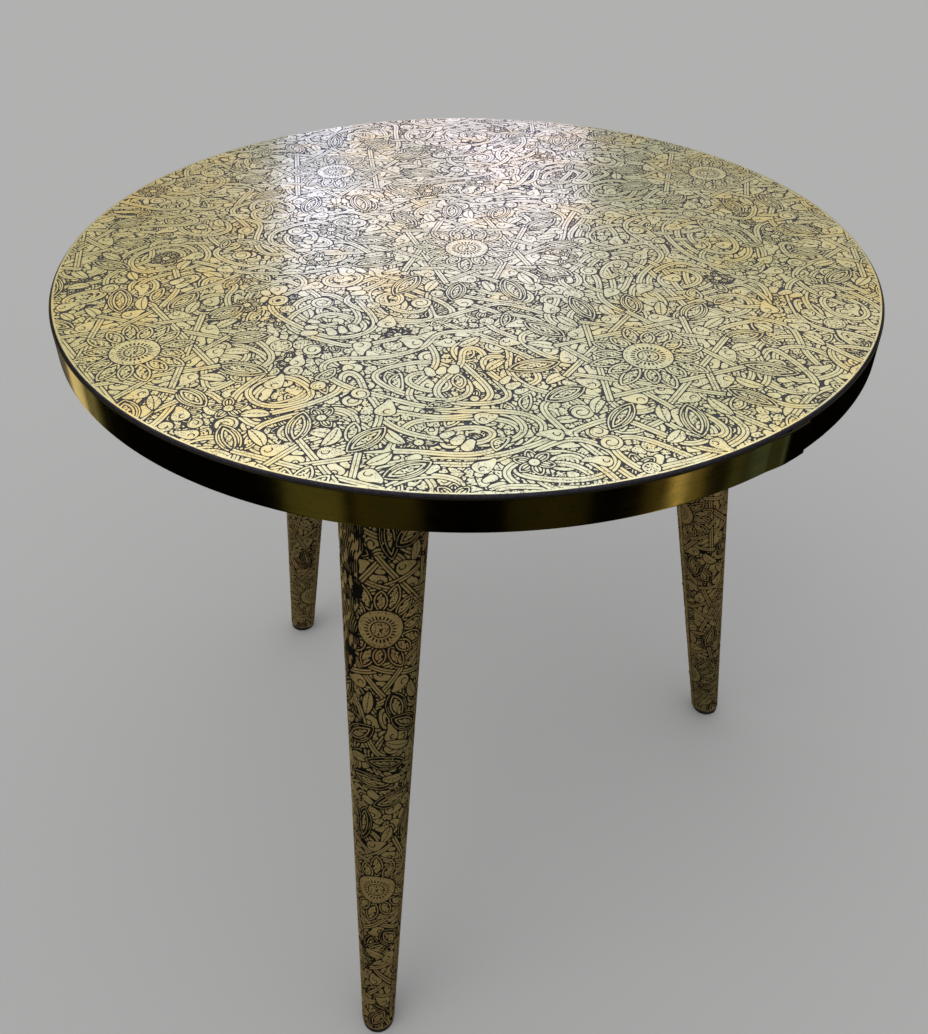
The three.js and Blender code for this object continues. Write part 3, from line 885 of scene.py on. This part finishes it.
def feet(material):
    """A hard rubber glide under each leg, with a hollow for its nail."""
    top = LEG_CUT - GAP
    head, depth = GLIDE_RECESS
    corners = [(GLIDE_BORE, depth), (head, depth), (head, 0), (GLIDE_RADIUS, 0), (GLIDE_RADIUS, top),
               (GLIDE_BORE, top), (GLIDE_BORE, depth)]
    profile = rounded(corners, radius=1.2, steps=5)
    centre = LEG_AT_FLOOR - LEG_CUT / 2 * tan(SPLAY)
    for side, azimuth in LEGS.items():
        place = Matrix.Rotation(azimuth, 4, "Z") @ Matrix.Translation((centre, 0, 0))
        turned_piece(f"foot_{side}", profile, 56, place, "foot_rubber", material, f"foot_glide_{side}")


def pins(material):
    """Small domed pins under the band's folded edge and down the seam of each leg."""
    bend = np.linspace(0.02, pi / 2, 7)
    dome = [(PIN_HEAD * sin(a), -PIN_DOME * cos(a)) for a in bend]
    shank = [(PIN_HEAD - 0.05, 0.06), (PIN_SHANK, 0.1), (PIN_SHANK, PIN_LENGTH - 1.2), (0.02, PIN_LENGTH)]

    def pin(kind, name, place):
        turned_piece(f"{kind}_pin_head_{name}", [*dome, *shank], 24, place, "pin_brass", material,
                     f"{kind}_pin_{name}")

    for k in range(BAND_PINS):
        angle = BAND_SEAM + pi / BAND_PINS + tau * (k + 1) / BAND_PINS
        spot = stepped((0, 0), BAND_RADIUS - BAND_PIN_INSET, angle)
        pin("band", k + 1, Matrix.Translation((*spot, UNDERSIDE - GAP)))
    inward = Matrix.Rotation(pi / 2, 4, "Y")
    for side, azimuth in LEGS.items():
        for k, share in enumerate(SEAM_PIN_SHARES):
            along = LEG_LENGTH * share
            seat = -(leg_radius(along) + SLEEVE_LIFT + GAP)
            place = leg_matrix(azimuth) @ Matrix.Translation((seat, 0, along)) @ inward
            pin("seam", f"{side}_{k + 1}", place)


# ---- materials ----

class Nodes:
    """A node tree written as a chain of calls."""

    def __init__(self, tree):
        self.tree = tree

    def put(self, value, socket):
        """Links a node's output to an input, or sets a value or a colour there."""
        if isinstance(value, bpy.types.NodeSocket):
            self.tree.links.new(value, socket)
        elif socket.type == "RGBA":
            socket.default_value = (*value, 1)
        else:
            socket.default_value = value

    def node(self, kind, inputs=(), **settings):
        node = self.tree.nodes.new("ShaderNode" + kind)
        for key, value in settings.items():
            setattr(node, key, value)
        for socket, value in dict(inputs).items():
            self.put(value, node.inputs[socket])
        return node

    def colours(self, value, stops):
        """A colour ramp through (position, colour) stops."""
        node = self.node("ValToRGB", {"Fac": value})
        elements = node.color_ramp.elements
        for _ in stops[2:]:
            elements.new(0.5)
        for element, (position, colour) in zip(elements, stops):
            element.position = position
            element.color = (*colour, 1)
        return node.outputs[0]

    def place(self):
        return self.node("TexCoord").outputs["Object"]

    def axes(self, vector=None):
        return self.node("SeparateXYZ", {0: vector or self.place()}).outputs

    def stretched(self, scale, place=None):
        return self.node("Mapping", {"Vector": place or self.place(), "Scale": scale}).outputs[0]

    def noise(self, scale, detail, roughness=0.55, place=None):
        """Noise at one scale, or at one for each axis."""
        if isinstance(scale, tuple):
            place, scale = self.stretched(scale, place), 1.0
        inputs = {"Vector": place or self.place(), "Scale": scale, "Detail": detail, "Roughness": roughness}
        return self.node("TexNoise", inputs).outputs["Fac"]

    def ramp(self, value, low, high, start=0.0, end=1.0):
        """value from low..high carried to start..end, and held there beyond."""
        inputs = {"Value": value, "From Min": low, "From Max": high, "To Min": start, "To Max": end}
        return self.node("MapRange", inputs, clamp=True).outputs[0]

    def math(self, operation, one, two):
        return self.node("Math", {0: one, 1: two}, operation=operation).outputs[0]

    def mix(self, share, one, two, blend="MIX"):
        """Two colours, by a share from 0 to 1."""
        return self.node("Mix", {0: share, 6: one, 7: two}, data_type="RGBA", blend_type=blend).outputs[2]

    def layered(self, tint, *layers):
        """A tint under layers, each at full strength where its value has risen from low to high."""
        for value, low, high, strength, colour in layers:
            tint = self.mix(self.ramp(value, low, high, 0.0, strength), tint, colour)
        return tint

    def bump(self, height, distance, strength, under=None):
        inputs = {"Height": height, "Distance": distance, "Strength": strength}
        if under:
            inputs["Normal"] = under
        return self.node("Bump", inputs).outputs[0]


class Finish(Nodes):
    """A material. Values that are the same all over go straight into the shader's sockets."""

    def __init__(self, name, **fixed):
        self.material = bpy.data.materials.new(name)
        self.material.use_nodes = True
        super().__init__(self.material.node_tree)
        for socket, value in fixed.items():
            self.join(value, socket.replace("_", " "))

    def join(self, value, socket):
        self.put(value, self.tree.nodes["Principled BSDF"].inputs[socket])

    def done(self, tint, roughness, normal):
        self.join(tint, "Base Color")
        self.join(roughness, "Roughness")
        self.join(normal, "Normal")
        return self.material


def times(factor, values):
    return tuple(factor * value for value in values)


def embossed_brass(name, bright, olive, copper, patina, smooth, rough, worn, metal, coat, punches, brightness_in_painted_floor_shade):
    """Bright raised metal over dark grooves, with punch marks, broad changes of tint, tarnish and fine
    grain, under a thin clear lacquer. Near the floor the tint is darkened towards the patina as a
    painted shade; the last argument is how bright the metal stays there."""
    look = Finish(name, Coat_Roughness=0.14)
    sunk = look.node("Attribute", attribute_name="sunk").outputs["Fac"]
    broad = look.noise(7.0, 2.0)
    patch = look.noise(26.0, 4.0, 0.6)
    fine = look.noise(420.0, 3.0, 0.65)
    speck = look.noise(1500.0, 2.0, 0.6)
    cells = {"Vector": look.place(), "Scale": punches, "Randomness": 0.8}
    punched = look.node("TexVoronoi", cells).outputs["Distance"]
    where = look.ramp(look.noise(85.0, 2.0, 0.5), 0.46, 0.56)
    marks = look.math("MULTIPLY", look.ramp(punched, 0.2, 0.34, 0.8, 0.0), where)
    tarnish = look.math("MULTIPLY", look.ramp(fine, 0.5, 0.72), look.ramp(patch, 0.3, 0.6, 0.9, 0.35))
    tint = look.layered(
        bright, (broad, 0.42, 0.62, 1.0, olive), (patch, 0.50, 0.66, 0.8, copper),
        (tarnish, 0.0, 1.0, 0.45, patina), (speck, 0.66, 0.74, 0.6, patina), (marks, 0.0, 1.0, 1.0, patina))
    # Painted shade: the tint darkens towards the patina colour near the floor
    tint = look.mix(look.ramp(look.axes()[2], 0.04, 0.30, 1.0 - brightness_in_painted_floor_shade, 0.0), tint, patina)
    dark = look.layered(patina, (fine, 0.35, 0.7, 1.0, times(1.9, patina)))
    wear = look.ramp(patch, 0.3, 0.7, -worn, worn)
    # sunk turns the metal to dark patina: real patina in the grooves, painted shade on the top's rolled edge
    filled = look.ramp(look.math("ADD", sunk, wear), 0.25, 0.6)
    look.join(look.ramp(filled, 0.0, 1.0, metal, 0.1), "Metallic")
    look.join(look.ramp(filled, 0.0, 1.0, 0.5, 0.15), "Specular IOR Level")
    look.join(look.ramp(filled, 0.0, 0.8, coat, 0.45 * coat), "Coat Weight")
    gloss = look.ramp(fine, 0.3, 0.75, smooth, rough)
    gloss = look.math("ADD", gloss, look.ramp(broad, 0.35, 0.65, 0.0, 0.06))
    gloss = look.math("MAXIMUM", gloss, look.ramp(filled, 0.2, 1.0, 0.0, 0.72))
    grain = look.bump(look.noise(240.0, 3.0, 0.6), 0.00012, 0.5)
    grain = look.bump(marks, -0.0001, 0.7, grain)
    return look.done(look.mix(filled, tint, dark), gloss, look.bump(speck, 0.00003, 0.6, grain))


def band_brass():
    """Polished brass with fine brushing round the band, tarnish and small dents, with a painted shade
    along its upper rim, where it meets the top.
    """
    look = Finish("band_brass", Metallic=1.0)
    x, y, height = look.axes()
    arc = look.math("MULTIPLY", look.math("ARCTAN2", y, x), BAND_RADIUS * MM)
    round_band = look.node("CombineXYZ", {0: arc, 2: height}).outputs[0]
    brushing = look.noise((26, 1, 3200), 4.0, 0.7, round_band)
    streak = look.noise((6, 1, 520), 3.0, 0.6, round_band)
    patch = look.noise(34.0, 4.0, 0.62)
    spots = look.noise(700.0, 2.0, 0.6)
    # Painted shade: the band's upper rim is coloured near black and made rough, for the shade in the gap
    # under the top's edge
    rim = look.ramp(height, (BAND_TOP - 0.9) * MM, (BAND_TOP - 0.4) * MM)
    tint = look.layered(
        (0.74, 0.55, 0.20), (patch, 0.38, 0.66, 1.0, (0.56, 0.46, 0.19)),
        (streak, 0.5, 0.78, 0.5, (0.38, 0.30, 0.13)), (spots, 0.64, 0.72, 0.7, (0.10, 0.075, 0.04)),
        (rim, 0.0, 1.0, 1.0, (0.045, 0.040, 0.028)))
    gloss = look.ramp(brushing, 0.3, 0.75, 0.07, 0.15)
    gloss = look.math("ADD", gloss, look.ramp(patch, 0.4, 0.7, 0.0, 0.05))
    gloss = look.math("MAXIMUM", gloss, look.ramp(rim, 0.0, 1.0, 0.0, 0.5))
    dents = look.bump(look.noise(40.0, 2.0), 0.0002, 0.3)
    return look.done(tint, gloss, look.bump(brushing, 0.000005, 0.6, dents))


def pin_brass():
    look = Finish("pin_brass", Metallic=1.0)
    fine = look.noise(900.0, 4.0, 0.65)
    tint = look.layered((0.60, 0.46, 0.20), (fine, 0.4, 0.7, 1.0, (0.20, 0.15, 0.07)))
    return look.done(tint, look.ramp(fine, 0.3, 0.75, 0.25, 0.55), look.bump(fine, 0.00008, 0.5))


def wood(name, light, dark, axis_scale, rough):
    """Straight-grained wood with rings, pores and a worn look."""
    look = Finish(name, Specular_IOR_Level=0.35)
    along = look.stretched(axis_scale)
    bend = look.noise(3.0, 2.0, 0.5, along)
    waves = {"Vector": along, "Scale": 2.6, "Distortion": 7.0, "Detail": 3.0, "Detail Scale": 1.4,
             "Detail Roughness": 0.6}
    rings = look.node("TexWave", waves, bands_direction="Y").outputs["Fac"]
    pores = look.noise(times(14, axis_scale), 3.0, 0.6)
    tint = look.layered(light, (rings, 0.15, 0.9, 1.0, dark), (bend, 0.35, 0.7, 0.5, dark),
                          (pores, 0.55, 0.72, 0.7, times(0.35, dark)))
    return look.done(tint, look.ramp(pores, 0.3, 0.75, rough, rough + 0.2), look.bump(pores, 0.0002, 0.5))


def steel(name, tint, rust_from):
    """Zinc-plated steel: cloudy plating, scratches and a little rust."""
    look = Finish(name, Metallic=1.0)
    cloud = look.noise(60.0, 4.0, 0.6)
    scratch = look.noise((900, 60, 300), 3.0, 0.6)
    rust = look.noise(140.0, 5.0, 0.7)
    tint = look.layered(tint, (cloud, 0.35, 0.7, 1.0, times(0.72, tint)),
                          (scratch, 0.56, 0.7, 0.4, (0.75, 0.75, 0.74)),
                          (rust, rust_from, rust_from + 0.1, 0.8, (0.16, 0.075, 0.03)))
    return look.done(tint, look.ramp(cloud, 0.3, 0.7, 0.3, 0.5), look.bump(scratch, 0.00005, 0.6))


def hard_rubber():
    look = Finish("hard_rubber", Specular_IOR_Level=0.4)
    dust = look.noise(190.0, 5.0, 0.7)
    tint = look.layered((0.012, 0.012, 0.012), (dust, 0.5, 0.75, 0.6, (0.07, 0.065, 0.058)))
    fine = look.bump(look.noise(1400.0, 2.0, 0.6), 0.00012, 0.6)
    return look.done(tint, look.ramp(dust, 0.35, 0.7, 0.5, 0.8), fine)


def repaint(material, *words):
    """Gives the CAD nodes whose names start with one of the words a finished material."""
    for name, node in frame["nodes"].items():
        if name.startswith(words):
            node.data.materials.clear()
            node.data.materials.append(material)


# ---- camera, floor and light ----

def camera():
    """The photograph's viewpoint, looking down at the table."""
    data = bpy.data.cameras.new("camera")
    data.sensor_width = 36.0
    data.lens = 35.406
    data.shift_y = -0.0354
    data.clip_start = 0.02
    eye = linked("camera", data)
    aside, raised, roll = (radians(angle) for angle in (0.108, 90 - 37.694, 0.221))
    eye.matrix_world = (Matrix.Rotation(aside, 4, "Z") @ Matrix.Rotation(raised, 4, "X")
                        @ Matrix.Rotation(roll, 4, "Z"))
    eye.location = (0.0, -0.6037, 0.7994)
    bpy.context.scene.camera = eye


def floor():
    """A plain pale floor, which polished metal doesn't mirror: the edge and legs reflect the dark."""
    side, level = 20.0, -0.0002
    mesh = bpy.data.meshes.new("floor")
    corners = [(-side, -side, level), (side, -side, level), (side, side, level), (-side, side, level)]
    mesh.from_pydata(corners, [], [(0, 1, 2, 3)])
    plane = linked("floor", mesh)
    grey = (0.42, 0.42, 0.42)
    mesh.materials.append(Finish("floor", Roughness=0.9, Specular_IOR_Level=0.1, Base_Color=grey).material)
    plane.visible_glossy = False


def heading(degrees):
    """Where a compass direction, anticlockwise from +X, lies on a ramp from 0 to 1."""
    return (degrees + 180) / 360


# Lit things round the room below the table's edge, which the polished band mirrors: headings and colours
LIT_BEHIND = [
    (-141, -124, (0.065, 0.066, 0.024)), (-121, -103, (0.028, 0.026, 0.008)),
    (-78, -56, (0.018, 0.017, 0.005)), (-39.5, -34, (0.040, 0.034, 0.010)),
    (-32, -27, (0.43, 0.37, 0.18)), (-25.5, -22, (0.14, 0.12, 0.045)),
]
LIT_ASIDE = [
    (-21, -15, (0.006, 0.006, 0.004)), (-13.5, -8, (0.045, 0.050, 0.025)),
    (-6, -0.5, (0.065, 0.085, 0.060)), (118, 130, (0.09, 0.08, 0.06)),
    (132, 143, (0.71, 0.60, 0.30)), (146, 151, (0.19, 0.18, 0.08)),
]

# The room above, from the horizontal (at 0.0) to straight overhead, and how it's tinted by heading
ROOM_ABOVE = [
    (0.0, (0.035, 0.04, 0.04)), (0.27, (0.21, 0.22, 0.16)), (0.36, (0.51, 0.50, 0.38)),
    (0.44, (0.69, 0.69, 0.59)), (0.50, (0.68, 0.71, 0.74)), (0.62, (1.20, 1.32, 1.45)),
    (1.0, (0.90, 0.89, 0.84)),
]
FRONT = (1.0, 1.0, 1.0)
DIM = (0.06, 0.06, 0.06)
PALE = (1.12, 1.02, 0.85)
GOLD = (1.20, 1.03, 0.76)
ROOM_TINTS = [
    (-180, DIM), (30, DIM), (58, PALE), (72, PALE), (80, FRONT), (100, FRONT), (104, GOLD), (119, GOLD),
    (150, DIM),
]


def patches(base, lit):
    """Ramp stops for crisp patches of light on an even base: each from one heading to another."""
    soft = 1.0
    stops = [(0.0, base)]
    for start, end, colour in lit:
        stops += [(heading(start - soft), base), (heading(start + soft), colour),
                  (heading(end - soft), colour), (heading(end + soft), base)]
    return [*stops, (1.0, base)]


def world():
    """An even pale dome for matt surfaces. Polished metal mirrors a room instead: bright in front and
    overhead, dim behind the viewer, and dark with a few lit patches below the horizon."""
    sky = bpy.data.worlds.new("studio")
    bpy.context.scene.world = sky
    sky.use_nodes = True
    nodes = Nodes(sky.node_tree)
    x, y, height = nodes.axes(nodes.node("TexCoord").outputs["Generated"])
    angle = nodes.ramp(nodes.math("ARCTAN2", y, x), -pi, pi)
    tint = nodes.colours(angle, [(heading(degrees), colour) for degrees, colour in ROOM_TINTS])
    below = nodes.mix(1.0, nodes.colours(angle, patches((0.0005, 0.0005, 0.0003), LIT_BEHIND)),
                      nodes.colours(angle, patches((0, 0, 0), LIT_ASIDE)), "ADD")
    above = nodes.mix(1.0, nodes.colours(height, ROOM_ABOVE), tint, "MULTIPLY")
    room = nodes.mix(nodes.ramp(height, -0.22, 0.0), below, above)
    rays = nodes.node("LightPath").outputs
    colour = nodes.mix(rays["Is Glossy Ray"], (0.93, 0.93, 0.93), room)
    colour = nodes.mix(rays["Is Camera Ray"], colour, (0.43, 0.43, 0.43))
    nodes.put(colour, nodes.tree.nodes["Background"].inputs["Color"])


def lamp(name, kind, place, target, colour, power, **settings):
    data = bpy.data.lights.new(name, kind)
    data.color = colour
    data.energy = power
    for key, value in settings.items():
        setattr(data, key, value)
    light = linked(name, data)
    light.location = place
    light.rotation_euler = (Vector(target) - Vector(place)).to_track_quat("-Z", "Y").to_euler()
    return light


def window(name, place, aside, colour, power, width):
    """A tall lit pane behind the table, which only its polish picks up."""
    pane = lamp(name, "AREA", place, (aside, 0, 0.52), colour, power, shape="RECTANGLE",
                size=width, size_y=0.62)
    pane.visible_diffuse = False


def lights():
    """A soft key light, and two tall windows with a lit pier between them."""
    lamp("key", "SUN", (-2.0, -1.6, 3.4), (0, 0, 0.4), (1.0, 0.98, 0.95), 0.5, angle=radians(45))
    window("window_left", (-0.46, 2.5, 1.55), -0.1, (0.60, 0.65, 1.25), power=0.90, width=0.24)
    window("window_right", (0.15, 2.5, 1.48), 0.05, (0.72, 0.67, 1.15), power=1.50, width=0.44)
    window("pier", (-0.20, 2.5, 1.45), 0.0, (0.86, 0.74, 1.1), power=0.64, width=0.26)


# ---- assembly ----

top_sheet(embossed_brass(
    "top_brass", bright=(0.89, 0.83, 0.56), olive=(0.71, 0.68, 0.41), copper=(0.92, 0.73, 0.31),
    patina=(0.028, 0.026, 0.036), smooth=0.20, rough=0.34, worn=0.10, metal=1.0, coat=0.8,
    punches=760.0, brightness_in_painted_floor_shade=1.0))
# The legs' brass is a darker copy of the top's: painted shade for their place under the table
legs(embossed_brass(
    "leg_brass", bright=(0.39, 0.28, 0.105), olive=(0.29, 0.225, 0.085), copper=(0.34, 0.205, 0.078),
    patina=(0.0035, 0.0030, 0.0024), smooth=0.34, rough=0.50, worn=0.14, metal=0.5, coat=0.2,
    punches=640.0, brightness_in_painted_floor_shade=0.80))
edge_band(band_brass())
pins(pin_brass())
feet(hard_rubber())
repaint(wood("board_wood", light=(0.085, 0.045, 0.022), dark=(0.040, 0.020, 0.010),
             axis_scale=(2, 18, 18), rough=0.5), "core_board")
repaint(wood("turned_wood", light=(0.42, 0.25, 0.12), dark=(0.26, 0.14, 0.06),
             axis_scale=(16, 16, 2), rough=0.55), "leg_core")
repaint(steel("plated_steel", tint=(0.52, 0.52, 0.51), rust_from=0.62), "leg_plate")
repaint(steel("screw_steel", tint=(0.46, 0.45, 0.43), rust_from=0.58),
        "leg_bolt", "plate_screw", "glide_nail")
camera()
floor()
world()
lights()
bpy.context.scene.view_settings.view_transform = "Standard"
